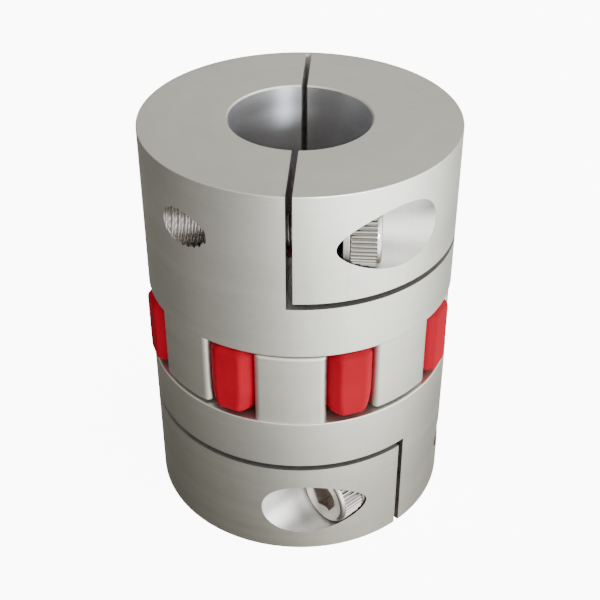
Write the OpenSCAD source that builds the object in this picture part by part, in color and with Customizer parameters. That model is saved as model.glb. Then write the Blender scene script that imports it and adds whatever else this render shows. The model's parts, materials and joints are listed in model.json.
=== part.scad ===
// Clamp-type jaw coupling: two slotted clamp hubs, an eight-lobe elastomer spider and two clamp screws.
// The coupling stands on its lower end face. Its axis is +Z and the origin is the centre of that face.

/* [Hubs] */
// Outer diameter of both hubs
hub_d = 65; // [62:1:70]
// Length of a hub's round body, without its jaws
body_len = 35.5; // [34:0.5:40]
// Gap between the two hub bodies
hub_gap = 17; // [15:0.5:20]
// Shaft bore
bore_d = 29; // [20:1:30]
// Chamfer at each end of the bore
bore_chamfer = 0.3; // [0.3:0.05:1]
// Chamfer on the rims of the body
rim_chamfer = 0.2; // [0.1:0.05:0.25]

/* [Jaws] */
// Clear space between a jaw's tip and the opposite hub
jaw_tip_gap = 0.5; // [0.4:0.1:1]
// How far the jaws' outer faces sit inside the hub's rim
jaw_inset = 0.3; // [0.3:0.05:0.5]
// Radius of the jaws' inner faces
jaw_inner_r = 19.5; // [19.3:0.1:20.5]
// Clearance between a jaw's flank and the spider's lobe
flank_clearance = 0.1; // [0.08:0.01:0.2]

/* [Slits] */
// Width of the clamp slit along the hub's diameter
clamp_kerf = 1.3; // [1:0.1:1.6]
// Width of the cross slit under the ear
cross_kerf = 1.3; // [0.8:0.1:1.6]
// Web left at the back, where the clamp slit stops short of the outside
back_web = 1; // [0.8:0.1:3]
// From the end face to the middle of the cross slit
slit_from_end = 23.6; // [22:0.1:26]
// Radius of the saw that makes the cross slit
saw_r = 40; // [39:0.5:41]

/* [Clamp screws] */
// From the hub's axis to the screw's axis
screw_offset = 24.75; // [24.5:0.05:25.5]
// From the end face to the screw's axis
screw_from_end = 11.5; // [11:0.1:12.5]
// Nominal diameter of the screw and of the tapped hole
screw_d = 8; // [8:8]
// Length of the screw under its head
screw_len = 25; // [20:1:28]
// Diameter of the screw's head
head_d = 12.5; // [12.3:0.1:13]
// Height of the screw's head
head_h = 5.9; // [5:0.1:6.2]
// Width across flats of the key socket
socket_af = 6; // [5:1:6]
// Depth of the key socket
socket_depth = 3.8; // [2.5:0.1:4]
// Diameter of the pocket for the head
pocket_d = 13.2; // [13.1:0.1:14]
// From the clamp slit's middle to the pocket's floor
pocket_floor = 8; // [7.8:0.1:9]
// Clearance hole for the screw in the ear
clearance_d = 9; // [8.6:0.1:9.4]
// Thickness of the washer
washer_t = 1.3; // [1:0.1:1.6]
// How far the upper screw is backed out
upper_back_off = 1.7; // [0:0.1:2]

/* [Spider] */
// Number of lobes, two for each jaw of one hub
lobes = 8; // [8:8]
// Half the width of a lobe at its widest
lobe_half_w = 5.1; // [4.8:0.05:5.3]
// Radius from the axis at which a lobe is widest
lobe_mid_r = 26.5; // [26:0.1:27]
// Radius of a lobe's bulging flanks
lobe_flank_r = 18; // [17:0.5:20]
// Radius of the lobes' outer faces
lobe_outer_r = 33.2; // [32.5:0.1:33.5]
// Outer radius of the ring that joins the lobes
ring_outer_r = 19; // [18.5:0.1:19]
// Inner radius of the ring
ring_inner_r = 15; // [14.8:0.1:16]
// Gap between the spider and the lower hub's face
spider_lift = 0.9; // [0.5:0.1:1.5]
// Gap between the spider and the upper hub's face
spider_top_gap = 0.3; // [0.3:0.1:1]
// Bevel on the corners of the lobes' outer faces
lobe_bevel = 1.3; // [0.8:0.1:1.5]

/* [Hidden] */
$fn = 96;
eps = 1;
hub_r = hub_d / 2;
bore_r = bore_d / 2;
lobe_pitch = 360 / lobes;
jaw_pitch = 2 * lobe_pitch;
jaw_outer_r = hub_r - jaw_inset;
jaw_len = hub_gap - jaw_tip_gap;
spider_t = hub_gap - spider_lift - spider_top_gap;
// Heights in a hub's own frame: 0 is the jaws' root face and body_len is the end face
slit_z = body_len - slit_from_end;
screw_z = body_len - screw_from_end;
// The cross slit's saw comes in from the ear's side and leaves a flexing web at the back
saw_x = 36;
saw_y = -15;
washer_hole_d = 8.4;
washer_d = head_d;
shank_d = screw_d - 0.1;
shank_tip_chamfer = 1;
head_chamfer = 0.8;
upper_root_z = body_len + hub_gap;
spider_z = body_len + spider_lift;

// Puts a hub-frame shape on the upper hub, jaws down
module on_upper() {
    translate([0, 0, upper_root_z])
        children();
}

// Puts a hub-frame shape on the lower hub, jaws up, turned by one lobe pitch
module on_lower() {
    translate([0, 0, body_len])
        rotate([0, 0, lobe_pitch])
            rotate([0, 180, 0])
                children();
}

// Puts a +Z shape on the clamp screw's axis, at a distance from the clamp slit's middle
module on_screw_axis(distance) {
    translate([distance, -screw_offset, screw_z])
        rotate([0, 90, 0])
            children();
}

// A lobe's plan: two bulging flanks, pointing along +X
module lobe_plan(grow) {
    centre = lobe_flank_r - lobe_half_w;
    intersection() {
        translate([lobe_mid_r, centre])
            circle(r = lobe_flank_r + grow);
        translate([lobe_mid_r, -centre])
            circle(r = lobe_flank_r + grow);
    }
}

// The round body with chamfered rims and its bore
module hub_body() {
    rotate_extrude()
        polygon([
            [bore_r + bore_chamfer, 0],
            [hub_r - rim_chamfer, 0],
            [hub_r, rim_chamfer],
            [hub_r, body_len - rim_chamfer],
            [hub_r - rim_chamfer, body_len],
            [bore_r + bore_chamfer, body_len],
            [bore_r, body_len - bore_chamfer],
            [bore_r, bore_chamfer]
        ]);
}

// One jaw below the root face, centred on +X, between the hollows of its two lobes
module jaw() {
    reach = hub_d;
    half = lobe_pitch / 2;
    translate([0, 0, -jaw_len])
        linear_extrude(jaw_len + eps)
            difference() {
                intersection() {
                    difference() {
                        circle(r = jaw_outer_r);
                        circle(r = jaw_inner_r);
                    }
                    polygon([
                        [0, 0],
                        [reach * cos(half), -reach * sin(half)],
                        [reach * cos(half), reach * sin(half)]
                    ]);
                }
                for (side = [-1, 1])
                    rotate(side * half)
                        lobe_plan(flank_clearance);
            }
}

// Clamp slit through the front and the bore into the back, and the cross slit that frees the ear on the +X side
module slits() {
    reach = hub_d;
    translate([-clamp_kerf / 2, -reach, slit_z - cross_kerf / 2])
        cube([clamp_kerf, reach + hub_r - back_web, body_len]);
    translate([0, 0, slit_z - cross_kerf / 2])
        linear_extrude(cross_kerf)
            intersection() {
                translate([saw_x, saw_y])
                    circle(r = saw_r);
                translate([-clamp_kerf / 2, -reach])
                    square([2 * reach, 2 * reach]);
            }
}

// Head pocket and clearance hole through the ear, and the tapped hole on the other side of the slit
module screw_holes() {
    reach = hub_d;
    on_screw_axis(pocket_floor)
        cylinder(d = pocket_d, h = reach);
    on_screw_axis(0)
        cylinder(d = clearance_d, h = pocket_floor + eps);
    on_screw_axis(-reach)
        cylinder(d = screw_d, h = reach + eps / 10);
}

module hub() {
    difference() {
        union() {
            hub_body();
            for (k = [0 : lobes / 2 - 1])
                rotate([0, 0, lobe_pitch + k * jaw_pitch])
                    jaw();
        }
        slits();
        screw_holes();
    }
}

// Plan of one lobe along +X: bulging flanks and a flat outer end with bevelled corners
module lobe_outline() {
    root_r = (ring_inner_r + ring_outer_r) / 2;
    face_half_w = lobe_half_w - 1.8 * lobe_bevel;
    intersection() {
        lobe_plan(0);
        polygon([
            [root_r, -hub_r],
            [lobe_outer_r - hub_r / 2, -face_half_w - hub_r / 2],
            [lobe_outer_r, -face_half_w],
            [lobe_outer_r, face_half_w],
            [lobe_outer_r - hub_r / 2, face_half_w + hub_r / 2],
            [root_r, hub_r]
        ]);
    }
}

// Spider: a ring with lobes that fill the spaces between the jaws of both hubs.
// The lobes' outer faces are bevelled at the top and bottom by the barrel.
module spider_solid() {
    barrel_r = lobe_outer_r + eps;
    barrel_bevel = lobe_bevel + eps;
    intersection() {
        linear_extrude(spider_t)
            difference() {
                union() {
                    circle(r = ring_outer_r);
                    for (k = [0 : lobes - 1])
                        rotate((k + 0.5) * lobe_pitch)
                            lobe_outline();
                }
                circle(r = ring_inner_r);
            }
        rotate_extrude()
            polygon([
                [0, 0],
                [barrel_r - barrel_bevel, 0],
                [barrel_r, barrel_bevel],
                [barrel_r, spider_t - barrel_bevel],
                [barrel_r - barrel_bevel, spider_t],
                [0, spider_t]
            ]);
    }
}

// Socket-head clamp screw, head upwards, with the underside of the head at 0
module clamp_screw() {
    difference() {
        rotate_extrude()
            polygon([
                [0, -screw_len],
                [shank_d / 2 - shank_tip_chamfer, -screw_len],
                [shank_d / 2, -screw_len + shank_tip_chamfer],
                [shank_d / 2, 0],
                [head_d / 2, 0],
                [head_d / 2, head_h - head_chamfer],
                [head_d / 2 - head_chamfer, head_h],
                [0, head_h]
            ]);
        translate([0, 0, head_h - socket_depth])
            rotate([0, 0, 30])
                cylinder(d = socket_af / cos(30), h = socket_depth + eps, $fn = 6);
    }
}

// Plain washer, with its lower face at 0
module washer() {
    difference() {
        cylinder(d = washer_d, h = washer_t);
        translate([0, 0, -eps])
            cylinder(d = washer_hole_d, h = washer_t + 2 * eps);
    }
}

module lower_hub() {
    color("lightgray")
        on_lower()
            hub();
}

module upper_hub() {
    color("silver")
        on_upper()
            hub();
}

module spider() {
    color("red")
        translate([0, 0, spider_z])
            spider_solid();
}

module lower_clamp_screw() {
    color("gainsboro")
        on_lower()
            on_screw_axis(pocket_floor + washer_t)
                clamp_screw();
}

module upper_clamp_screw() {
    color("gainsboro")
        on_upper()
            on_screw_axis(pocket_floor + upper_back_off + washer_t)
                clamp_screw();
}

module lower_washer() {
    color("darkgray")
        on_lower()
            on_screw_axis(pocket_floor)
                washer();
}

module upper_washer() {
    color("darkgray")
        on_upper()
            on_screw_axis(pocket_floor + upper_back_off)
                washer();
}

lower_hub();
upper_hub();
spider();
lower_clamp_screw();
upper_clamp_screw();
lower_washer();
upper_washer();
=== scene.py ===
"""Looks of a clamp-type jaw coupling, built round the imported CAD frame.

Shapes are made in millimetres in a hub's own frame (root face of the jaws at z = 0, end face upwards)
or in a screw's own frame (clamp slit's middle at z = 0, head upwards), and placed in the row frame in metres.
"""
import json
import math

import bmesh
import bpy
from mathutils import Matrix, Vector


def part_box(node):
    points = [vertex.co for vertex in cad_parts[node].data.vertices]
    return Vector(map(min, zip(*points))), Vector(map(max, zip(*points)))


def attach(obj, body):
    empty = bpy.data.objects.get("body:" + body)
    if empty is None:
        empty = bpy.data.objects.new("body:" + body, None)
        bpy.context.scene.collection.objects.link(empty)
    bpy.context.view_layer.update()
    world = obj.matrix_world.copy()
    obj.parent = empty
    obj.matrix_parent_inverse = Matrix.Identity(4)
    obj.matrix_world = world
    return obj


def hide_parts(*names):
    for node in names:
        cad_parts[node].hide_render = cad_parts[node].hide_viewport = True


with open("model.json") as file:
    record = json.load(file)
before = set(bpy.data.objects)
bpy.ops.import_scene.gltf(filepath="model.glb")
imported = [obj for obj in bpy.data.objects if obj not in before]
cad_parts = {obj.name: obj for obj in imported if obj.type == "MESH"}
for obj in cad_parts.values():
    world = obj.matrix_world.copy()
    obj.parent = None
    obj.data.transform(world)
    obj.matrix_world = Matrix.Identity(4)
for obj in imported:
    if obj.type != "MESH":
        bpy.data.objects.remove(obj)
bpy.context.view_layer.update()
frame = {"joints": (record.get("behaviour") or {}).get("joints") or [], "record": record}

# ---------------------------------------------------------------- sizes from the frame, in millimetres
MM = 0.001
MOUNTS = {m["name"]: m for m in frame["record"]["mounts"]}
JOINTS = {j["name"]: j for j in frame["joints"]}


def box_mm(node):
    low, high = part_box(node)
    return low / MM, high / MM


hub_low, hub_high = box_mm("upper_hub")
lower_top = box_mm("lower_hub")[1].z
spider_low, spider_high = box_mm("spider")
washer_low, washer_high = box_mm("upper_washer")
head_seat = Vector(JOINTS["upper_screw_turn"]["pos_m"]) / MM
lower_head_seat = Vector(JOINTS["lower_screw_turn"]["pos_m"]) / MM
lower_axis = Vector(JOINTS["lower_screw_turn"]["axis"])

HUB_R = (hub_high.x - hub_low.x) / 2
OVERALL = hub_high.z
BODY_LEN = 2 * MOUNTS["lower_bore"]["pos_m"][2] / MM
ROOT_Z = OVERALL - BODY_LEN
JAW_LEN = lower_top - BODY_LEN
BORE_R = MOUNTS["upper_bore"]["dims"]["r_mm"]
SCREW_OFFSET = -head_seat.y
SCREW_Z = head_seat.z - ROOT_Z
WASHER_T = washer_high.x - washer_low.x
WASHER_R = (washer_high.y - washer_low.y) / 2
UPPER_SEAT = head_seat.x
LOWER_SEAT = lower_head_seat.dot(lower_axis)
SPIDER_T = spider_high.z - spider_low.z

# ---------------------------------------------------------------- other sizes, in millimetres and degrees
LOBES = 8
LOBE_PITCH = 360 / LOBES
ROUND = 256
# Hub: the clamp slit is upright, and the cross slit lies at SLIT_Z above the jaws' root face.
BORE_CHAMFER = 0.3
RIM_CHAMFER = 0.25
EDGE_BREAK = 0.1
CLAMP_KERF = 1.3
CROSS_KERF = 1.3
BACK_WEB = 1.0
SLIT_Z = 11.9
SAW_R = 40
SAW_CENTRE = (36, -15)
POCKET_R = 6.6
POCKET_FLOOR = 8.0
CLEARANCE_R = 4.5
# Thread: THREAD_ROOT and THREAD_FLANKS are shares of the pitch.
PITCH = 1.25
THREAD_R = 3.85
THREAD_DEPTH = 0.52
THREAD_ROOT = 0.2
THREAD_FLANKS = 0.62
THREAD_CLEARANCE = 0.06
TAP_LEN = 30
# Screw and washer: RUNOUT is the thread's distance from the head.
SCREW_LEN = 25
TIP_CHAMFER = 1.1
RUNOUT = 1.2
HEAD_R = 6.25
HEAD_H = 5.9
KNURL_H = 4.9
KNURL_TEETH = 43
KNURL_DEPTH = 0.24
SOCKET_AF = 6
SOCKET_DEPTH = 3.7
WASHER_HOLE_R = 4.2
WASHER_EDGE = 0.18
# Jaws: JAW_ROOTED is how far they are sunk into the body before they are joined to it.
JAW_OUTER_R = HUB_R - 0.3
JAW_INNER_R = 19.5
JAW_EDGE_R = 1.4
JAW_INNER_EDGE_R = 0.8
JAW_TIP_R = 0.7
JAW_ROOTED = 1
# Spider: its lobes stand proud of the hubs, and taper from TAPER_FROM_R outwards near the lower end.
LOBE_HALF_W = 5.1
LOBE_MID_R = 26.5
LOBE_FLANK_R = 18
LOBE_OUTER_R = HUB_R + 0.7
LOBE_BEVEL = 1.3
FLANK_CLEARANCE = 0.1
RING_OUTER_R = 19
RING_INNER_R = 15
CORNER_REACH = 0.75
FILLET_R = 1.5
TAPER_HEIGHT = 6
TAPER = 0.2
TAPER_FROM_R = 21
BEVEL_SHARE = 1.8
HOLE_BEVEL = 0.4
# Fine work: the deburred depth, the height of crest left there, and gaps and overlaps between solids.
DEBURR = 0.25
CREST_LEFT = 0.22
CONTACT_GAP = 0.015
OVERLAP = 0.1
CUT = 80


# ---------------------------------------------------------------- mesh helpers
def add_object(name, bm):
    """Turns a bmesh into an object of the scene."""
    mesh = bpy.data.meshes.new(name)
    bmesh.ops.recalc_face_normals(bm, faces=bm.faces)
    bm.to_mesh(mesh)
    bm.free()
    obj = bpy.data.objects.new(name, mesh)
    bpy.context.scene.collection.objects.link(obj)
    return obj


def ring_solid(name, rings, closed=False):
    """A solid of quads between rings of the same length, capped unless the rings close on themselves."""
    bm = bmesh.new()
    rows = [[bm.verts.new(p) for p in ring] for ring in rings]
    count = len(rows[0])
    pairs = list(zip(rows, rows[1:]))
    if closed:
        pairs.append((rows[-1], rows[0]))
    for a, b in pairs:
        for i in range(count):
            j = (i + 1) % count
            bm.faces.new((a[i], a[j], b[j], b[i]))
    if not closed:
        bm.faces.new(rows[0][::-1])
        bm.faces.new(rows[-1])
    return add_object(name, bm)


def circle(r, z, count=ROUND):
    return [
        (r * math.cos(2 * math.pi * i / count), r * math.sin(2 * math.pi * i / count), z)
        for i in range(count)
    ]


def lathe(name, profile, closed=False, count=ROUND):
    """A solid turned about Z from a profile of (radius, height) points."""
    return ring_solid(name, [circle(r, z, count) for r, z in profile], closed)


def arc(cx, cy, r, start, end, steps):
    """Points on an arc, from one angle to the other, in degrees."""
    angles = [math.radians(start + (end - start) * i / steps) for i in range(steps + 1)]
    return [(cx + r * math.cos(a), cy + r * math.sin(a)) for a in angles]


def prism(name, outline, low, high):
    """An outline drawn up from one height to another."""
    return ring_solid(name, [[(x, y, z) for x, y in outline] for z in (low, high)])


def boolean(target, tool, operation):
    """Applies a boolean to target and deletes the tool."""
    modifier = target.modifiers.new("cut", "BOOLEAN")
    modifier.operation = operation
    modifier.solver = "EXACT"
    modifier.object = tool
    apply_modifiers(target)
    bpy.data.objects.remove(tool, do_unlink=True)


def apply_modifiers(obj):
    evaluated = obj.evaluated_get(bpy.context.evaluated_depsgraph_get())
    mesh = bpy.data.meshes.new_from_object(evaluated)
    obj.modifiers.clear()
    obj.data = mesh


def move(obj, matrix):
    """Moves the mesh itself, so that the object stays at the frame's origin."""
    obj.data.transform(matrix)
    return obj


def soften_edges(obj, width, angle=38, segments=2):
    """Breaks every edge sharper than the angle with a small bevel."""
    modifier = obj.modifiers.new("edge_break", "BEVEL")
    modifier.width = width
    modifier.segments = segments
    modifier.limit_method = "ANGLE"
    modifier.angle_limit = math.radians(angle)
    modifier.use_clamp_overlap = True
    apply_modifiers(obj)


def finish_shading(obj, angle=32):
    """Smooth shading with sharp edges and normals that follow the large faces."""
    obj.data.shade_smooth()
    obj.data.set_sharp_from_angle(angle=math.radians(angle))
    modifier = obj.modifiers.new("normals", "WEIGHTED_NORMAL")
    modifier.keep_sharp = True
    modifier.weight = 80
    apply_modifiers(obj)


def meet(r_a, centre_b, r_b, side):
    """Where a circle round the origin meets another circle: the point on that side of the line of centres."""
    d = centre_b.length
    along = (r_a ** 2 - r_b ** 2 + d ** 2) / (2 * d)
    across = math.sqrt(r_a ** 2 - along ** 2)
    u = centre_b / d
    return u * along + Vector((-u.y, u.x)) * across * side


def heading(vector):
    """A vector's direction, in degrees from +X."""
    return math.degrees(math.atan2(vector.y, vector.x))


def turn_to(start, end):
    """end, moved by whole turns to lie within half a turn of start."""
    return start + (end - start + 180) % 360 - 180


# ---------------------------------------------------------------- places
SCREW_TO_HUB = Matrix.Translation((0, -SCREW_OFFSET, SCREW_Z)) @ Matrix.Rotation(math.pi / 2, 4, "Y")
UPPER = Matrix.Scale(MM, 4) @ Matrix.Translation((0, 0, ROOT_Z))
LOWER = (
    Matrix.Scale(MM, 4)
    @ Matrix.Translation((0, 0, BODY_LEN))
    @ Matrix.Rotation(math.radians(LOBE_PITCH), 4, "Z")
    @ Matrix.Rotation(math.pi, 4, "Y")
)


# ---------------------------------------------------------------- thread
def thread_radius(z, angle, outer):
    """Right-hand thread: a ridge with straight flanks, flat at its crest and at its root."""
    turn = (z / PITCH - angle / (2 * math.pi)) % 1
    rise = 1 - abs(2 * turn - 1)
    share = min(1, max(0, (rise - THREAD_ROOT) / THREAD_FLANKS))
    return outer - THREAD_DEPTH * (1 - share)


def threaded_rows(low, high, outer, count, step=PITCH / 14):
    """Rings of a threaded rod, in the screw's frame."""
    steps = max(1, round((high - low) / step))
    rows = []
    for k in range(steps + 1):
        z = low + (high - low) * k / steps
        ring = []
        for i in range(count):
            a = 2 * math.pi * i / count
            r = thread_radius(z, a, outer)
            ring.append((r * math.cos(a), r * math.sin(a), z))
        rows.append(ring)
    return rows


# ---------------------------------------------------------------- hub
def flank_centre():
    """Centre of the lobe flank that a jaw along +X follows: the lobe lies half a pitch on."""
    half = math.radians(LOBE_PITCH / 2)
    along = Vector((math.cos(half), math.sin(half))) * LOBE_MID_R
    across = Vector((-math.sin(half), math.cos(half))) * (LOBE_FLANK_R - LOBE_HALF_W)
    return along + across


def jaw_outline(inset):
    """Plan of a jaw along +X, counter-clockwise, with rounded corners; inset moves all of it inwards."""
    centre = flank_centre()
    flank_r = LOBE_FLANK_R + FLANK_CLEARANCE
    outer_corner = meet(JAW_OUTER_R - JAW_EDGE_R, centre, flank_r + JAW_EDGE_R, -1)
    inner_corner = meet(JAW_INNER_R + JAW_INNER_EDGE_R, centre, flank_r + JAW_INNER_EDGE_R, -1)
    outer_heading = heading(outer_corner)
    inner_heading = heading(inner_corner)
    flank_out = turn_to(-90, heading(outer_corner - centre))
    flank_in = turn_to(flank_out, heading(inner_corner - centre))
    half = arc(0, 0, JAW_OUTER_R - inset, 0, outer_heading, 14)
    half += arc(
        outer_corner.x, outer_corner.y, JAW_EDGE_R - inset,
        outer_heading, turn_to(outer_heading, flank_out + 180), 8,
    )[1:]
    half += arc(centre.x, centre.y, flank_r + inset, flank_out, flank_in, 16)[1:]
    half += arc(
        inner_corner.x, inner_corner.y, JAW_INNER_EDGE_R - inset,
        turn_to(180, flank_in + 180), turn_to(180, inner_heading + 180), 6,
    )[1:]
    half += arc(0, 0, JAW_INNER_R + inset, inner_heading, 0, 8)[1:]
    return half + [(x, -y) for x, y in half[-2:0:-1]]


def jaw():
    """One jaw below the root face, its tip rounded all round."""
    steps = 6
    rings = []
    for k in range(steps + 1):
        a = math.pi / 2 * k / steps
        inset = JAW_TIP_R * (1 - math.sin(a))
        z = -JAW_LEN + JAW_TIP_R * (1 - math.cos(a))
        rings.append([(x, y, z) for x, y in jaw_outline(inset)])
    rings.append([(x, y, JAW_ROOTED) for x, y in jaw_outline(0)])
    return ring_solid("jaw", rings)


def rounded_rim(r, z, up, steps=3):
    """Profile of the body's outer rim: a small quarter round."""
    points = []
    for k in range(steps + 1):
        a = math.pi / 2 * k / steps
        points.append((r - RIM_CHAMFER * (1 - math.sin(a)), z - up * RIM_CHAMFER * (1 - math.cos(a))))
    return points


def sort_faces(obj, finishes, finish_of):
    """Gives every face the material index of its finish; the materials themselves come later."""
    for polygon in obj.data.polygons:
        polygon.material_index = finishes.index(finish_of(polygon.center, polygon.normal))


HUB_FINISHES = ["turned", "bored_painted_shade", "milled_painted_light", "tapped", "painted_shade_recess", "slit"]
CLOSE, NEAR = 0.02, 0.05
FLAT = 0.9


def hub_finish(c, n):
    """How a face of a hub was machined, from where its centre is in the hub's own frame; the bore, the cross
    slit and the clearance hole are sorted to painted shade, the pockets to painted light.
    """
    r = math.hypot(c.x, c.y)
    from_screw = math.hypot(c.y + SCREW_OFFSET, c.z - SCREW_Z)
    inside = r < HUB_R - EDGE_BREAK - CLOSE
    # Painted shade: the bore's faces get a darker aluminium.
    if r < BORE_R + CLOSE and 0 < c.z < BODY_LEN:
        return "bored_painted_shade"
    if c.x < 0 and from_screw < THREAD_R + NEAR and r < HUB_R - CLOSE:
        return "tapped"
    # Painted shade: the clearance hole's faces get a darker aluminium that stands for the shade inside it.
    if c.x > CLAMP_KERF / 2 + NEAR and from_screw < CLEARANCE_R + NEAR and inside:
        return "painted_shade_recess"
    # Painted light: the pockets' walls get a lighter aluminium.
    if c.x > POCKET_FLOOR - NEAR and from_screw < POCKET_R + CLOSE and inside:
        return "milled_painted_light"
    if not inside or c.z > BODY_LEN - NEAR:
        return "turned"
    # Painted shade: the cross slit's faces get the same darker aluminium, for the shade in the kerf.
    if abs(c.z - SLIT_Z) < CROSS_KERF / 2 + CLOSE:
        return "painted_shade_recess"
    if c.z > SLIT_Z and abs(c.x) < CLAMP_KERF / 2 + CLOSE and abs(n.z) < FLAT:
        return "slit"
    return "turned"


def drill(name, r, low, high, count=96):
    """A round tool along the screw's axis, in the hub's frame."""
    return move(lathe(name, [(r, low), (r, high)], count=count), SCREW_TO_HUB)


def hub_body():
    """The turned body with its bore and four jaws."""
    chamfer_r = BORE_R + BORE_CHAMFER
    profile = rounded_rim(HUB_R, 0, -1)
    profile += rounded_rim(HUB_R, BODY_LEN, 1)[::-1]
    profile += [(chamfer_r, BODY_LEN), (BORE_R, BODY_LEN - BORE_CHAMFER)]
    profile += [(BORE_R, BORE_CHAMFER), (chamfer_r, 0)]
    body = lathe("hub", profile, closed=True)
    for k in range(LOBES // 2):
        angle = math.radians(LOBE_PITCH * (1 + 2 * k))
        boolean(body, move(jaw(), Matrix.Rotation(angle, 4, "Z")), "UNION")
    return body


def cut_slits(hub):
    """The clamp slit, which stops just short of the back, and the cross slit, a disc-shaped saw cut."""
    half = CLAMP_KERF / 2
    stop = HUB_R - BACK_WEB
    low, high = SLIT_Z - CROSS_KERF / 2, SLIT_Z + CROSS_KERF / 2
    clamp_slit = prism("clamp_slit", [(-half, -CUT), (half, -CUT), (half, stop), (-half, stop)], low, CUT)
    boolean(hub, clamp_slit, "DIFFERENCE")
    # The saw's outline is trimmed flush with the clamp slit's far wall.
    reach = math.degrees(math.acos((SAW_CENTRE[0] + half) / SAW_R))
    saw = arc(SAW_CENTRE[0], SAW_CENTRE[1], SAW_R, 180 + reach, 540 - reach, 180)
    boolean(hub, prism("cross_slit", saw, low, high), "DIFFERENCE")


def deburring_tool():
    """Takes off the tapped hole's first crests, just under the outside."""
    brush = drill("brush", THREAD_R - CREST_LEFT, -CUT, 0)
    inner_r = HUB_R - DEBURR
    low, high = SCREW_Z - POCKET_R, SCREW_Z + POCKET_R
    skin = lathe("skin", [(inner_r, low), (CUT, low), (CUT, high), (inner_r, high)], closed=True)
    boolean(brush, skin, "INTERSECT")
    return brush


def build_hub():
    hub = hub_body()
    cut_slits(hub)
    boolean(hub, drill("pocket", POCKET_R, POCKET_FLOOR, CUT, count=160), "DIFFERENCE")
    boolean(hub, drill("clearance", CLEARANCE_R, 0, POCKET_FLOOR + 1), "DIFFERENCE")
    soften_edges(hub, EDGE_BREAK)
    tap = ring_solid("tap", threaded_rows(-TAP_LEN, OVERLAP, THREAD_R, 96))
    boolean(hub, move(tap, SCREW_TO_HUB), "DIFFERENCE")
    boolean(hub, deburring_tool(), "DIFFERENCE")
    finish_shading(hub)
    sort_faces(hub, HUB_FINISHES, hub_finish)
    return hub


def settle(obj, matrix, body):
    """Places a finished piece on its body, where it stands in for the CAD node of the same name."""
    move(obj, matrix)
    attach(obj, body)
    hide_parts(body)
    return obj


def place_hub(source, name, matrix, body):
    hub = bpy.data.objects.new(name, source.data.copy())
    bpy.context.scene.collection.objects.link(hub)
    return settle(hub, matrix, body)


hub_mesh = build_hub()
upper_hub = place_hub(hub_mesh, "upper_clamp_hub", UPPER, "upper_hub")
lower_hub = place_hub(hub_mesh, "lower_clamp_hub", LOWER, "lower_hub")
bpy.data.objects.remove(hub_mesh, do_unlink=True)


# ---------------------------------------------------------------- spider
def rounded(corner, before, after, reach, steps=5):
    """A soft corner: a curve that leaves the incoming line and joins the outgoing one at the same reach."""
    start = corner + (before - corner).normalized() * reach
    end = corner + (after - corner).normalized() * reach
    points = []
    for k in range(steps + 1):
        t = k / steps
        points.append(tuple(start * (1 - t) ** 2 + corner * (2 * t * (1 - t)) + end * t ** 2))
    return points


def lobe_half_outline(inset):
    """Half of a lobe along +X: the ring's arc, fillet, bulging flank, bevel and half of the end face."""
    centre = Vector((LOBE_MID_R, LOBE_HALF_W - LOBE_FLANK_R))
    fillet = meet(RING_OUTER_R + FILLET_R, centre, LOBE_FLANK_R + FILLET_R, 1)
    from_ring = heading(fillet)
    to_flank = heading(centre - fillet)
    flank_start = heading(fillet - centre)
    # The bevel is a line at 45 degrees, and the end face a line across the lobe, both moved in by the inset.
    face_x = LOBE_OUTER_R - inset
    face_half_w = LOBE_HALF_W - BEVEL_SHARE * LOBE_BEVEL
    bevel_reach = (LOBE_OUTER_R + face_half_w) / math.sqrt(2) - inset
    slope = Vector((1, 1)).normalized()
    flank_r = LOBE_FLANK_R - inset
    along = bevel_reach - centre.dot(slope)
    corner = centre + slope * along + Vector((-slope.y, slope.x)) * math.sqrt(flank_r ** 2 - along ** 2)
    edge = Vector((face_x, bevel_reach * math.sqrt(2) - face_x))
    flank_end = heading(corner - centre) + math.degrees(CORNER_REACH / flank_r)
    points = arc(0, 0, RING_OUTER_R - inset, LOBE_PITCH / 2, from_ring, 5)
    points += arc(
        fillet.x, fillet.y, FILLET_R + inset, from_ring + 180, turn_to(from_ring + 180, to_flank), 6
    )[1:]
    points += arc(centre.x, centre.y, flank_r, flank_start, flank_end, 12)[1:]
    points += rounded(corner, Vector(points[-1]), edge, CORNER_REACH)[1:]
    points += rounded(edge, corner, Vector((face_x, 0)), CORNER_REACH)
    return points


def spider_outline(inset):
    half = lobe_half_outline(inset)
    lobe = half + [(x, -y) for x, y in half[::-1]][:-1]
    points = []
    for k in range(LOBES):
        a = -math.radians((k + 0.5) * LOBE_PITCH)
        points += [(x * math.cos(a) - y * math.sin(a), x * math.sin(a) + y * math.cos(a)) for x, y in lobe]
    return points


def hole_outline(r, like):
    """As many points as the outer outline has, evenly round the hole, from the same heading."""
    start = math.atan2(like[0][1], like[0][0])
    step = -2 * math.pi / len(like)
    return [(r * math.cos(start + step * i), r * math.sin(start + step * i)) for i in range(len(like))]


def taper_lobes(bm):
    """Narrows the lobes' free parts towards the lower end, as they leave the mould."""
    for v in bm.verts:
        lobe = round(math.degrees(math.atan2(v.co.y, v.co.x)) / LOBE_PITCH - 0.5) + 0.5
        a = math.radians(lobe * LOBE_PITCH)
        along = Vector((math.cos(a), math.sin(a), 0))
        across = Vector((-along.y, along.x, 0))
        reach = min(1, max(0, (v.co.dot(along) - TAPER_FROM_R) / (LOBE_OUTER_R - TAPER_FROM_R)))
        drop = max(0, 1 - v.co.z / TAPER_HEIGHT) ** 1.5
        v.co -= across * (v.co.dot(across) * TAPER * drop * reach)


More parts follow.
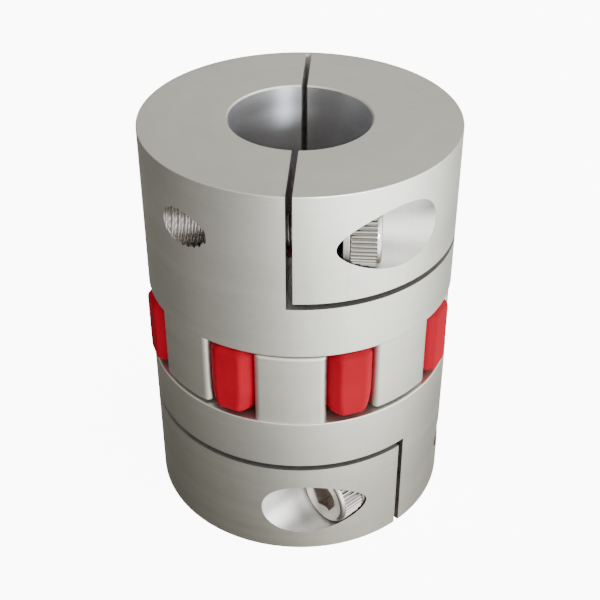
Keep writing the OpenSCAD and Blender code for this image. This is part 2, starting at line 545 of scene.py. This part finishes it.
def build_spider():
    """The star: its outline lofted upwards, with soft bevels at both ends of the lobes and of the hole."""
    # How far in the outline is at each height above the end.
    edge = [(0, 1.35), (0.12, 1.08), (0.42, 0.74), (0.78, 0.4), (1.15, 0.14), (1.6, 0.02), (2.1, 0)]
    middle = [(3, 0), (4.5, 0), (TAPER_HEIGHT, 0)]
    steps = edge + middle + [(SPIDER_T - z, inset) for z, inset in edge[::-1]]
    plan = spider_outline(0)
    bm = bmesh.new()
    outer = [[bm.verts.new((x, y, z)) for x, y in spider_outline(inset)] for z, inset in steps]
    inner = [
        [bm.verts.new((x, y, z)) for x, y in hole_outline(RING_INNER_R + HOLE_BEVEL * inset, plan)]
        for z, inset in steps
    ]
    for rows, flip in ((outer, False), (inner, True)):
        for a, b in zip(rows, rows[1:]):
            for i in range(len(a)):
                j = (i + 1) % len(a)
                quad = (a[i], a[j], b[j], b[i])
                bm.faces.new(quad[::-1] if flip else quad)
    bm.verts.index_update()
    for end in (0, -1):
        edges = []
        for loop in (outer[end], inner[end]):
            edges += [bm.edges.get((loop[i], loop[(i + 1) % len(loop)])) for i in range(len(loop))]
        bmesh.ops.triangle_fill(bm, edges=edges, use_beauty=True, use_dissolve=False)
    taper_lobes(bm)
    spider = add_object("spider_star", bm)
    finish_shading(spider, angle=40)
    lift = Matrix.Scale(MM, 4) @ Matrix.Translation((0, 0, spider_low.z))
    return settle(spider, lift, "spider")


spider = build_spider()


# ---------------------------------------------------------------- screws and washers
def knurled_ring(z, r, depth):
    """One ring of straight knurling, six points a tooth; a depth of 0 leaves it round."""
    wave = [0, 0.35, 1, 1, 0.35, 0]
    count = KNURL_TEETH * len(wave)
    points = []
    for i in range(count):
        a = 2 * math.pi * i / count
        here = r - depth * (1 - wave[i % len(wave)])
        points.append((here * math.cos(a), here * math.sin(a), z))
    return points


def head_rows(low, high):
    """Rings of the head's side: knurling with a chamfer below, which runs out into a smooth, rounded rim."""
    chamfer, rim_start, rim_in, rim_round = 0.3, 0.08, 0.07, 0.85
    knurl_top = low + KNURL_H
    rows = [
        knurled_ring(low, HEAD_R - KNURL_DEPTH - 0.15, 0),
        knurled_ring(low + chamfer * 0.4, HEAD_R - 0.12, KNURL_DEPTH * 0.6),
        knurled_ring(low + chamfer, HEAD_R, KNURL_DEPTH),
        knurled_ring(knurl_top - 0.12, HEAD_R, KNURL_DEPTH),
        knurled_ring(knurl_top, HEAD_R - 0.05, KNURL_DEPTH * 0.3),
    ]
    steps = 6
    rim_h = high - knurl_top - rim_start
    for k in range(steps + 1):
        a = math.pi / 2 * k / steps
        r = HEAD_R - rim_in - rim_round * (1 - math.cos(a))
        rows.append(knurled_ring(knurl_top + rim_start + rim_h * math.sin(a), r, 0))
    return rows


def threaded_shank(name, seat):
    """The thread with a chamfered tip, and a plain neck that reaches into the head."""
    count = 72
    crest = THREAD_R - THREAD_CLEARANCE
    tip = seat - SCREW_LEN
    rows = threaded_rows(tip, seat - RUNOUT, crest, count)
    for row in rows:
        for i, (x, y, z) in enumerate(row):
            limit = min(crest - TIP_CHAMFER + (z - tip), crest)
            r = math.hypot(x, y)
            if r > limit:
                row[i] = (x * limit / r, y * limit / r, z)
    neck = [circle(3.5, seat - 0.9, count), circle(3.9, seat + 0.5, count)]
    return ring_solid(name + "_shank", rows + neck)


def cut_socket(screw, top):
    """The hexagon socket and the cone at its mouth."""
    corner_r = SOCKET_AF / 2 / math.cos(math.pi / 6)
    angles = [math.pi / 3 * i + math.pi / 6 for i in range(6)]
    hexagon = [(corner_r * math.cos(a), corner_r * math.sin(a)) for a in angles]
    boolean(screw, prism("socket", hexagon, top - SOCKET_DEPTH, top + 1), "DIFFERENCE")
    mouth = lathe("mouth", [(2.6, top - 0.75), (3.85, top + 0.05), (3.85, top + 1)], count=96)
    boolean(screw, mouth, "DIFFERENCE")


SCREW_FINISHES = ["plated", "threaded", "socket"]


def build_screw(seat, name, matrix, body):
    top = seat + HEAD_H
    screw = ring_solid(name, head_rows(seat, top))
    boolean(screw, threaded_shank(name, seat), "UNION")
    cut_socket(screw, top)
    finish_shading(screw, angle=34)

    def finish_of(c, n):
        r = math.hypot(c.x, c.y)
        # Painted shade: the shank, seen through the clamp slit, and the knurl's grooves are sorted to a dark
        # steel.
        if c.z < seat - 0.05:
            return "threaded"
        in_groove = seat + 0.1 < c.z < seat + KNURL_H - 0.05 and SOCKET_AF < r < HEAD_R - 0.6 * KNURL_DEPTH
        if in_groove and abs(n.z) < 0.5:
            return "threaded"
        return "socket" if r < SOCKET_AF / 2 * 1.16 and c.z < top - 0.7 else "plated"

    sort_faces(screw, SCREW_FINISHES, finish_of)
    return settle(screw, matrix @ SCREW_TO_HUB, body)


def build_washer(seat, name, matrix, body):
    low, high = seat - WASHER_T + CONTACT_GAP, seat - CONTACT_GAP
    edge, soft = WASHER_EDGE, WASHER_EDGE * 0.3
    profile = [
        (WASHER_HOLE_R, low + edge), (WASHER_HOLE_R + edge, low),
        (WASHER_R - edge, low), (WASHER_R - soft, low + soft), (WASHER_R, low + edge),
        (WASHER_R, high - edge), (WASHER_R - soft, high - soft), (WASHER_R - edge, high),
        (WASHER_HOLE_R + edge, high), (WASHER_HOLE_R, high - edge),
    ]
    washer = lathe(name, profile, closed=True, count=144)
    finish_shading(washer)
    return settle(washer, matrix @ SCREW_TO_HUB, body)


upper_screw = build_screw(UPPER_SEAT, "upper_socket_screw", UPPER, "upper_clamp_screw")
lower_screw = build_screw(LOWER_SEAT, "lower_socket_screw", LOWER, "lower_clamp_screw")
upper_washer = build_washer(UPPER_SEAT, "upper_plain_washer", UPPER, "upper_washer")
lower_washer = build_washer(LOWER_SEAT, "lower_plain_washer", LOWER, "lower_washer")


# ---------------------------------------------------------------- materials
def new_material(name):
    material = bpy.data.materials.new(name)
    material.use_nodes = True
    tree = material.node_tree
    return material, tree, tree.nodes["Principled BSDF"]


def node(tree, kind, **values):
    n = tree.nodes.new(kind)
    for key, value in values.items():
        if key in n.inputs:
            n.inputs[key].default_value = value
        else:
            setattr(n, key, value)
    return n


def noise(tree, vector, scale, detail=2, roughness=0.5):
    n = node(tree, "ShaderNodeTexNoise", Scale=scale, Detail=detail, Roughness=roughness)
    tree.links.new(vector, n.inputs["Vector"])
    return n.outputs["Fac"]


def ramp(tree, value, low, high, out_low=0.0, out_high=1.0, interpolation="LINEAR"):
    n = node(tree, "ShaderNodeMapRange", interpolation_type=interpolation)
    for key, v in (("From Min", low), ("From Max", high), ("To Min", out_low), ("To Max", out_high)):
        n.inputs[key].default_value = v
    tree.links.new(value, n.inputs["Value"])
    return n.outputs["Result"]


def math_node(tree, operation, *values):
    """A sum, product or other function of numbers and sockets."""
    n = node(tree, "ShaderNodeMath", operation=operation)
    for socket, value in zip(n.inputs, values):
        if isinstance(value, (int, float)):
            socket.default_value = value
        else:
            tree.links.new(value, socket)
    return n.outputs[0]


def mix_colour(tree, factor, a, b):
    n = node(tree, "ShaderNodeMix", data_type="RGBA")
    tree.links.new(factor, n.inputs["Factor"])
    # A mix node has its sockets once for each data type; 6 and 7 are its colours, and output 2 their mix.
    for socket, colour in ((n.inputs[6], a), (n.inputs[7], b)):
        socket.default_value = (*colour, 1)
    return n.outputs[2]


def bump(tree, height, strength, distance, below=None):
    n = node(tree, "ShaderNodeBump", Strength=strength, Distance=distance)
    tree.links.new(height, n.inputs["Height"])
    if below is not None:
        tree.links.new(below, n.inputs["Normal"])
    return n.outputs["Normal"]


def machined_aluminium(name, base, rough, axis=(0, 0, 1), about_axis=True, marks=0.25, brushed=0):
    """Aluminium with the marks of its cutting.

    The marks change with the distance along the axis and, on faces turned about Z, with the distance from Z.
    """
    material, tree, shader = new_material(name)
    place = tree.nodes.new("ShaderNodeTexCoord").outputs["Object"]
    along = node(tree, "ShaderNodeVectorMath", operation="DOT_PRODUCT")
    tree.links.new(place, along.inputs[0])
    along.inputs[1].default_value = axis
    marks_place = tree.nodes.new("ShaderNodeCombineXYZ")
    tree.links.new(along.outputs["Value"], marks_place.inputs[2])
    if about_axis:
        split = tree.nodes.new("ShaderNodeSeparateXYZ")
        tree.links.new(place, split.inputs[0])
        x, y, _ = split.outputs
        squares = math_node(tree, "ADD", math_node(tree, "MULTIPLY", x, x), math_node(tree, "MULTIPLY", y, y))
        tree.links.new(math_node(tree, "SQRT", squares), marks_place.inputs[0])
    fine = noise(tree, marks_place.outputs[0], 2600, 3, 0.6)
    passes = noise(tree, marks_place.outputs[0], 420, 2, 0.5)
    grain = noise(tree, place, 5200, 2, 0.6)
    cloud = noise(tree, place, 75, 4, 0.6)
    # Streaks: short marks drawn out across the axis.
    squeeze = node(tree, "ShaderNodeVectorMath", operation="MULTIPLY")
    squeeze.inputs[1].default_value = tuple(0.12 + 0.88 * abs(c) for c in axis)
    tree.links.new(place, squeeze.inputs[0])
    streaks = noise(tree, squeeze.outputs["Vector"], 1500, 3, 0.65)
    darker = tuple(c * 0.88 for c in base)
    shade = math_node(tree, "ADD", ramp(tree, cloud, 0.3, 0.7, 0, 0.45), ramp(tree, passes, 0.3, 0.7, 0, 0.2))
    shade = math_node(tree, "ADD", shade, ramp(tree, streaks, 0.3, 0.7, 0, 0.35))
    tree.links.new(mix_colour(tree, shade, darker, base), shader.inputs["Base Color"])
    shader.inputs["Metallic"].default_value = 1
    # A brushed finish draws its highlight out across the marks that run round the axis.
    shader.inputs["Anisotropic"].default_value = brushed
    shader.inputs["Anisotropic Rotation"].default_value = 0.25
    uneven = ramp(tree, passes, 0.3, 0.7, -0.02, 0.02)
    spread = math_node(tree, "ADD", ramp(tree, grain, 0.25, 0.75, -0.03, 0.03), uneven)
    tree.links.new(math_node(tree, "ADD", spread, rough), shader.inputs["Roughness"])
    normal = bump(tree, fine, marks, 0.00002)
    normal = bump(tree, streaks, marks, 0.00002, normal)
    normal = bump(tree, passes, marks, 0.00003, normal)
    normal = bump(tree, grain, 0.25, 0.00001, normal)
    tree.links.new(normal, shader.inputs["Normal"])
    return material


def moulded_elastomer():
    """Red polyurethane: semi-matt, slightly cloudy, with a little light going in."""
    material, tree, shader = new_material("red_polyurethane")
    place = tree.nodes.new("ShaderNodeTexCoord").outputs["Object"]
    cloud = noise(tree, place, 90, 3, 0.5)
    grain = noise(tree, place, 3800, 3, 0.6)
    colour = mix_colour(tree, ramp(tree, cloud, 0.3, 0.7), (0.27, 0.002, 0.010), (0.32, 0.003, 0.013))
    tree.links.new(colour, shader.inputs["Base Color"])
    tree.links.new(ramp(tree, grain, 0.3, 0.7, 0.46, 0.56), shader.inputs["Roughness"])
    shader.inputs["Specular IOR Level"].default_value = 0.06
    shader.inputs["Subsurface Weight"].default_value = 0.08
    shader.inputs["Subsurface Radius"].default_value = (0.002, 0.0004, 0.0003)
    shader.inputs["Subsurface Scale"].default_value = 1.0
    tree.links.new(bump(tree, grain, 0.3, 0.00003), shader.inputs["Normal"])
    return material


def plated_steel(name, base, rough_low, rough_high):
    """Steel with a fine grain in its gloss and faint clouds in its tone."""
    material, tree, shader = new_material(name)
    place = tree.nodes.new("ShaderNodeTexCoord").outputs["Object"]
    cloud = noise(tree, place, 300, 3, 0.55)
    grain = noise(tree, place, 4500, 3, 0.6)
    darker = tuple(c * 0.9 for c in base)
    tree.links.new(mix_colour(tree, ramp(tree, cloud, 0.35, 0.65), darker, base), shader.inputs["Base Color"])
    shader.inputs["Metallic"].default_value = 1
    tree.links.new(ramp(tree, grain, 0.3, 0.7, rough_low, rough_high), shader.inputs["Roughness"])
    tree.links.new(bump(tree, grain, 0.2, 0.00001), shader.inputs["Normal"])
    return material


def paint(obj, *materials):
    """Fills the object's material slots in the order of its finishes, and keeps each face's own slot."""
    slots = [polygon.material_index for polygon in obj.data.polygons]
    obj.data.materials.clear()
    for material in materials:
        obj.data.materials.append(material)
    obj.data.polygons.foreach_set("material_index", slots)


# One material for each of a hub's finishes; the milled pockets' marks lie along the screws' axes, and their
# lighter base is painted light.
TURNED = machined_aluminium("turned_aluminium", (0.70, 0.705, 0.655), 0.43)
# Painted shade: the bore's aluminium is darker than the turned outside, and faintly bluer as a painted tint
# of the bore light; its brushed gloss is the real finish.
BORE_IN_PAINTED_SHADE = machined_aluminium("painted_shade_bore_aluminium", (0.56, 0.56, 0.57), 0.38, marks=0.8, brushed=0.6)
TAPPED = machined_aluminium("tapped_aluminium", (0.50, 0.48, 0.46), 0.28, about_axis=False)
# Painted shade: a darker aluminium for the cross slit and the clearance holes, for the shade inside them; its
# roughness and marks are real.
RECESS_IN_PAINTED_SHADE = machined_aluminium("painted_shade_recess_aluminium", (0.44, 0.43, 0.41), 0.55, marks=0.6)
SLIT = machined_aluminium("slit_aluminium", (0.74, 0.73, 0.70), 0.5, marks=0.6)
for hub, axis in ((upper_hub, (1, 0, 0)), (lower_hub, tuple(lower_axis))):
    milled_name = hub.name + "_milled"
    # Painted light: the pocket's aluminium is lighter than the turned outside.
    milled_painted_light = machined_aluminium(milled_name, (0.85, 0.85, 0.84), 0.42, axis, about_axis=False, marks=0.5)
    paint(hub, TURNED, BORE_IN_PAINTED_SHADE, milled_painted_light, TAPPED, RECESS_IN_PAINTED_SHADE, SLIT)

paint(spider, moulded_elastomer())

PLATED = plated_steel("plated_steel", (0.52, 0.50, 0.47), 0.16, 0.26)
# Painted shade: a dark steel for the shank and the knurl's grooves, which lie in shade.
STEEL_IN_PAINTED_SHADE = plated_steel("painted_shade_dark_steel", (0.22, 0.21, 0.195), 0.28, 0.4)
SOCKET = plated_steel("broached_socket_steel", (0.46, 0.41, 0.38), 0.35, 0.5)
for screw in (upper_screw, lower_screw):
    paint(screw, PLATED, STEEL_IN_PAINTED_SHADE, SOCKET)
WASHER_STEEL = plated_steel("plain_washer_steel", (0.50, 0.49, 0.47), 0.28, 0.4)
for washer in (upper_washer, lower_washer):
    paint(washer, WASHER_STEEL)


# ---------------------------------------------------------------- stage: camera, floor and light
# Angles in degrees, lengths in metres.
VIEW_AZIMUTH = 3.57
VIEW_ELEVATION = 34.8
VIEW_DISTANCE = 0.2529
VIEW_HEIGHT = 0.4945 * OVERALL * MM
FLOOR_GLOW = 9
FLAG_RADIUS = 0.16
FLAG_SHIFT = 0.018
WINDOW_AZIMUTH = 56


def heading_out(azimuth, elevation=0):
    """Direction from the object: azimuth in degrees from the front towards the right, and elevation."""
    azimuth, elevation = math.radians(azimuth), math.radians(elevation)
    level = math.cos(elevation)
    return Vector((level * math.sin(azimuth), -level * math.cos(azimuth), math.sin(elevation)))


def aim(obj, target):
    obj.rotation_euler = (Vector(target) - obj.location).to_track_quat("-Z", "Y").to_euler()


def disc(name, radius, height, segments):
    """A flat disc that lies just above the floor, in metres."""
    bm = bmesh.new()
    bmesh.ops.create_circle(bm, cap_ends=True, segments=segments, radius=radius)
    return move(add_object(name, bm), Matrix.Translation((0, 0, height)))


def matt_paper(name, shade):
    material, _, shader = new_material(name)
    shader.inputs["Base Color"].default_value = (shade, shade, shade, 1)
    shader.inputs["Roughness"].default_value = 0.9
    return material, shader


def add_camera():
    target = Vector((0, 0, VIEW_HEIGHT))
    camera = bpy.data.objects.new("camera", bpy.data.cameras.new("camera"))
    bpy.context.scene.collection.objects.link(camera)
    camera.location = target + VIEW_DISTANCE * heading_out(VIEW_AZIMUTH, VIEW_ELEVATION)
    aim(camera, target)
    camera.data.lens = 68.75
    camera.data.sensor_width = 36
    camera.data.clip_start = 0.01
    bpy.context.scene.camera = camera


def add_floor():
    """The floor stands for a bright sheet of paper, which glows by itself."""
    bm = bmesh.new()
    bmesh.ops.create_grid(bm, x_segments=1, y_segments=1, size=200)
    floor = add_object("floor", bm)
    material, shader = matt_paper("white_paper", 0.9)
    shader.inputs["Emission Color"].default_value = (1, 1, 1, 1)
    shader.inputs["Emission Strength"].default_value = FLOOR_GLOW
    paint(floor, material)
    floor.visible_glossy = False
    floor.visible_diffuse = False


def add_bore_floor():
    """Inside the lower bore the paper lies in shadow, so it doesn't glow there."""
    bore_floor = disc("bore_floor", (BORE_R + 0.2) * MM, 0.0001, 96)
    paint(bore_floor, matt_paper("shaded_paper", 0.8)[0])


def add_bore_light():
    """A narrow light for the highlight in the upper bore's far wall."""
    light = bpy.data.objects.new("bore_light", bpy.data.lights.new("bore_light", "SPOT"))
    light.location = (0.064, -0.126, 0.131)
    light.data.energy = 7
    light.data.color = (0.84, 0.91, 1)
    light.data.spot_size = math.radians(11)
    light.data.spot_blend = 1
    light.data.shadow_soft_size = 0.02
    aim(light, (-0.005, 0.0135, 0.087))
    bpy.context.scene.collection.objects.link(light)


def add_flag():
    """A graduated flag on the floor, unseen by the camera: painted shade of the floor round the object, which
    dims what the lower half reflects.
    """
    flag = disc("floor_flag", FLAG_RADIUS, 0.00005, 128)
    flag.location.x = FLAG_SHIFT
    material, tree, _ = new_material("graduated_flag")
    place = tree.nodes.new("ShaderNodeTexCoord").outputs["Object"]
    reach = node(tree, "ShaderNodeVectorMath", operation="LENGTH")
    tree.links.new(place, reach.inputs[0])
    through = ramp(tree, reach.outputs["Value"], 0.035, 0.145)
    clear = tree.nodes.new("ShaderNodeBsdfTransparent")
    tree.links.new(mix_colour(tree, through, (0.31, 0.30, 0.265), (1, 1, 1)), clear.inputs["Color"])
    tree.links.new(clear.outputs[0], tree.nodes["Material Output"].inputs["Surface"])
    paint(flag, material)
    flag.visible_camera = False
    flag.visible_diffuse = False


def add_room():
    """A soft room: brightest at the right in front, dark at the left, mid grey above and behind."""
    world = bpy.data.worlds.new("studio")
    world.use_nodes = True
    tree = world.node_tree
    background = tree.nodes["Background"]
    direction = tree.nodes.new("ShaderNodeTexCoord").outputs["Generated"]
    split = tree.nodes.new("ShaderNodeSeparateXYZ")
    tree.links.new(direction, split.inputs[0])
    window = node(tree, "ShaderNodeVectorMath", operation="DOT_PRODUCT")
    window.inputs[1].default_value = heading_out(WINDOW_AZIMUTH)
    tree.links.new(direction, window.inputs[0])
    facing = ramp(tree, window.outputs["Value"], -0.82, 0.82)
    glow = math_node(tree, "MULTIPLY", math_node(tree, "POWER", facing, 6), 3.6)
    fill = ramp(tree, facing, 0, 1, 0.18, 1)
    above = math_node(tree, "MULTIPLY", ramp(tree, split.outputs[2], 0, 0.6, interpolation="SMOOTHSTEP"), 0.5)
    strength = math_node(tree, "ADD", math_node(tree, "ADD", glow, fill), above)
    tree.links.new(strength, background.inputs["Strength"])
    tree.links.new(mix_colour(tree, facing, (1, 0.95, 0.86), (1, 1, 0.985)), background.inputs["Color"])
    bpy.context.scene.world = world


add_camera()
add_floor()
add_bore_floor()
add_bore_light()
add_flag()
add_room()
